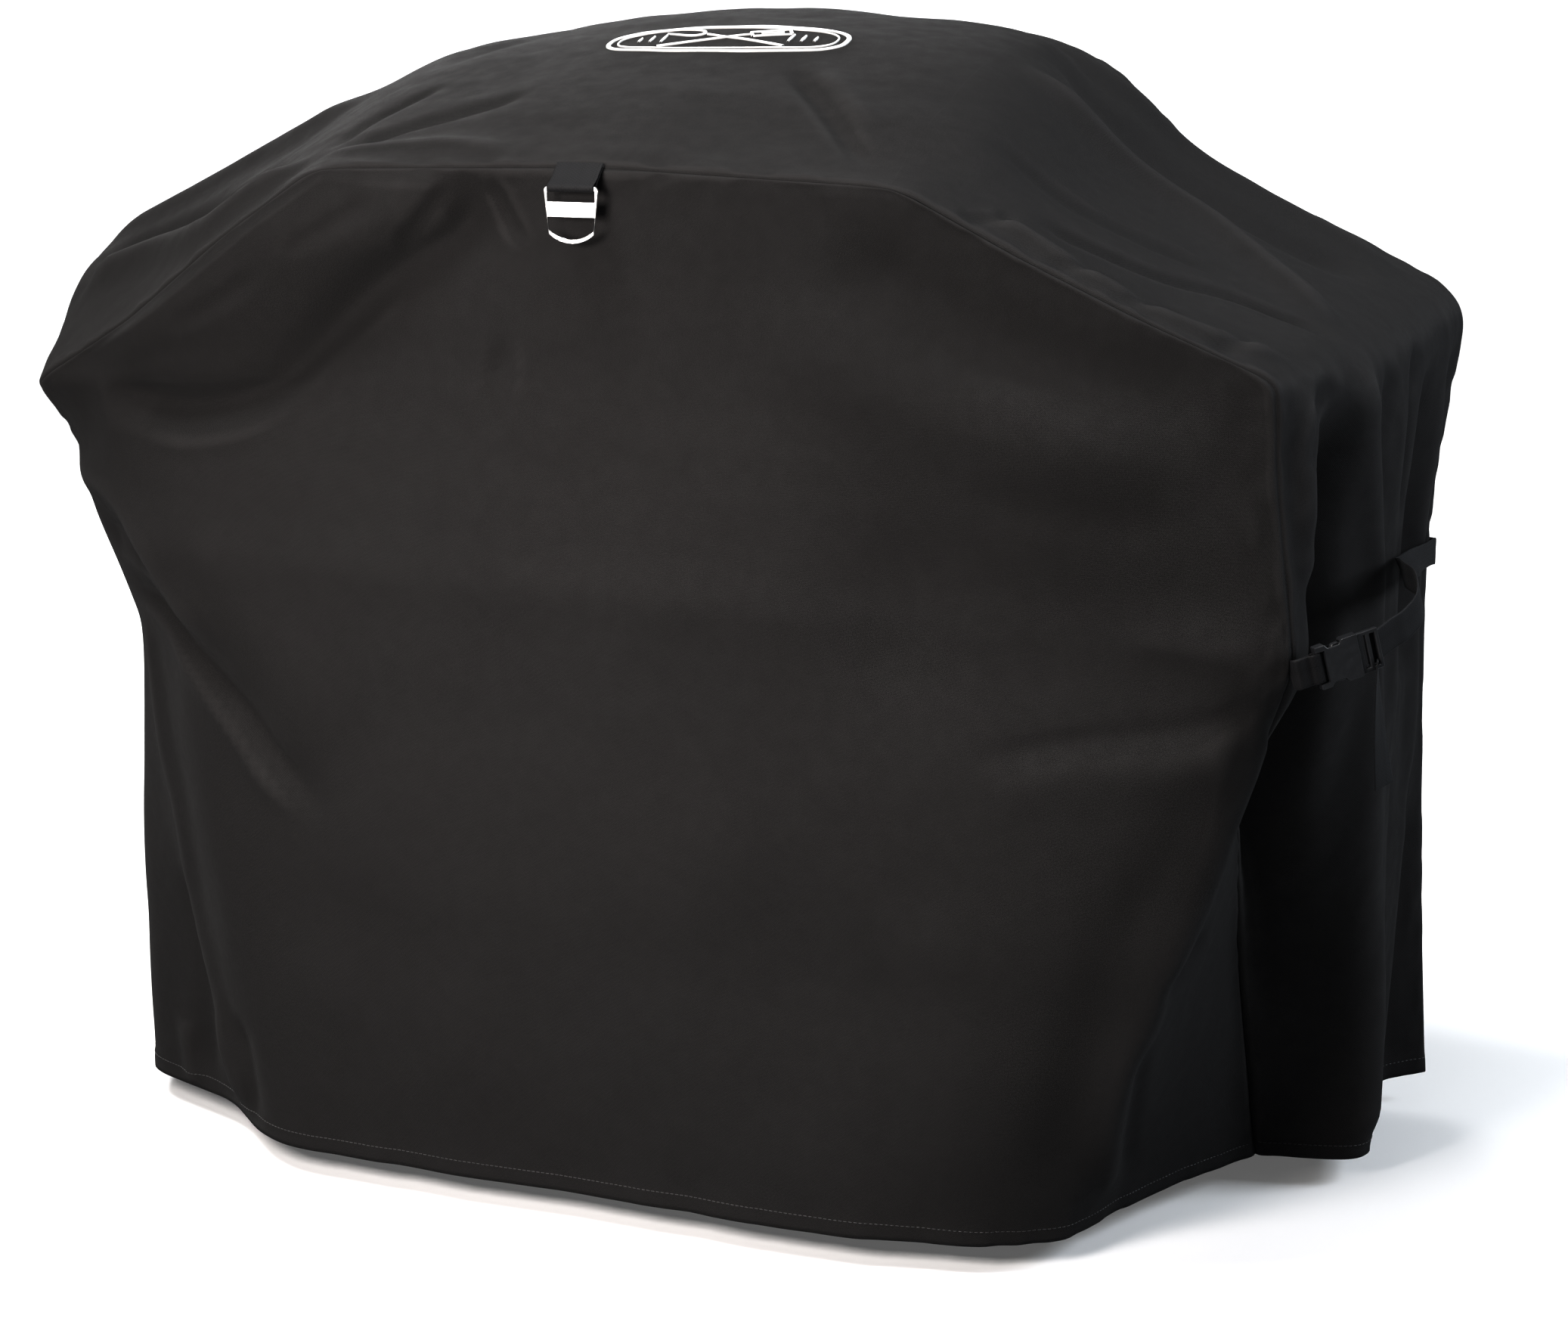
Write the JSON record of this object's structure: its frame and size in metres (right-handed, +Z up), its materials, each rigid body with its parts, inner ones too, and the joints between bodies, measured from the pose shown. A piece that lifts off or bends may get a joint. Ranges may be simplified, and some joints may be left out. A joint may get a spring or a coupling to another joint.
{
  "type": "grill cover",
  "caption": "Fabric cover draped over a cart grill: raised hood, sloped shoulders, side gusset, hang tab with metal ring, buckled side straps.",
  "frame": {"origin": "under the top of the hood, where the cover rests on the grill's lid, on the width's middle", "axes": "+Z up, +X to the viewer's right across the width, -Y towards the front"},
  "size_m": [1.3856, 0.64, 1.0338],
  "materials": {
    "cover_fabric": "matte coated woven polyester, fine twill texture",
    "seam_tape": "matte woven binding",
    "webbing": "ribbed polypropylene webbing",
    "buckle_plastic": "satin moulded plastic",
    "ring_metal": "polished nickel plate",
    "embroidery_thread": "silver-grey satin thread"
  },
  "bodies": {
    "cover": {"gusset_panel": "cover_fabric", "front_panel": "cover_fabric", "back_panel": "cover_fabric", "front_seam_tape": "seam_tape", "rear_seam_tape": "seam_tape", "hood_badge": "embroidery_thread", "right_front_strap": "webbing", "right_buckle_socket": "buckle_plastic", "right_rear_strap": "webbing", "left_front_strap": "webbing", "left_buckle_socket": "buckle_plastic", "left_rear_strap": "webbing"},
    "hang_tab": {"hang_tab": "webbing"},
    "hang_ring": {"hang_ring": "ring_metal"},
    "right_plug": {"right_buckle_plug": "buckle_plastic"},
    "right_arm_upper": {"right_plug_arm_upper": "buckle_plastic"},
    "right_arm_lower": {"right_plug_arm_lower": "buckle_plastic"},
    "right_tail": {"right_strap_tail": "webbing"},
    "left_plug": {"left_buckle_plug": "buckle_plastic"},
    "left_arm_upper": {"left_plug_arm_upper": "buckle_plastic"},
    "left_arm_lower": {"left_plug_arm_lower": "buckle_plastic"},
    "left_tail": {"left_strap_tail": "webbing"}
  },
  "joints": [
    {"name": "hang_tab_lift", "type": "hinge", "parent": "cover", "child": "hang_tab", "pos_m": [-0.019, -0.4022, -0.1105], "axis": [-1, 0, 0], "range_deg": [-8, 110]},
    {"name": "hang_ring_swing", "type": "hinge", "parent": "hang_tab", "child": "hang_ring", "pos_m": [-0.019, -0.4202, -0.12561], "axis": [-1, 0, 0], "range_deg": [-8, 100]},
    {"name": "right_plug_release", "type": "slide", "parent": "cover", "child": "right_plug", "axis": [0.7815, 0.5678, 0.2588], "range_m": [0, 0.045], "deforming": ["right_rear_strap"]},
    {"name": "right_arm_upper_squeeze", "type": "hinge", "parent": "right_plug", "child": "right_arm_upper", "pos_m": [0.63122, -0.3725, -0.47005], "axis": [0.5878, -0.809, 0], "range_deg": [0, 8]},
    {"name": "right_arm_lower_squeeze", "type": "hinge", "parent": "right_plug", "child": "right_arm_lower", "pos_m": [0.63603, -0.369, -0.49227], "axis": [0.5878, -0.809, 0], "range_deg": [-8, 0]},
    {"name": "right_tail_swing", "type": "hinge", "parent": "right_plug", "child": "right_tail", "pos_m": [0.64677, -0.35601, -0.48634], "axis": [0.5878, -0.809, 0], "range_deg": [-7, 8]},
    {"name": "left_plug_release", "type": "slide", "parent": "cover", "child": "left_plug", "axis": [-0.3584, 0.9336, 0], "range_m": [0, 0.045], "deforming": ["left_rear_strap"]},
    {"name": "left_arm_upper_squeeze", "type": "hinge", "parent": "left_plug", "child": "left_arm_upper", "pos_m": [-0.61443, -0.10086, -0.5365], "axis": [0.9336, 0.3584, 0], "range_deg": [0, 8]},
    {"name": "left_arm_lower_squeeze", "type": "hinge", "parent": "left_plug", "child": "left_arm_lower", "pos_m": [-0.61443, -0.10086, -0.5595], "axis": [0.9336, 0.3584, 0], "range_deg": [-8, 0]},
    {"name": "left_tail_swing", "type": "hinge", "parent": "left_plug", "child": "left_tail", "pos_m": [-0.61671, -0.08321, -0.558], "axis": [0.9336, 0.3584, 0], "range_deg": [-7, 8]}
  ],
  "couplings": [
    {"joint": "right_arm_lower_squeeze", "follows": "right_arm_upper_squeeze", "ratio": -1},
    {"joint": "left_arm_lower_squeeze", "follows": "left_arm_upper_squeeze", "ratio": -1}
  ]
}
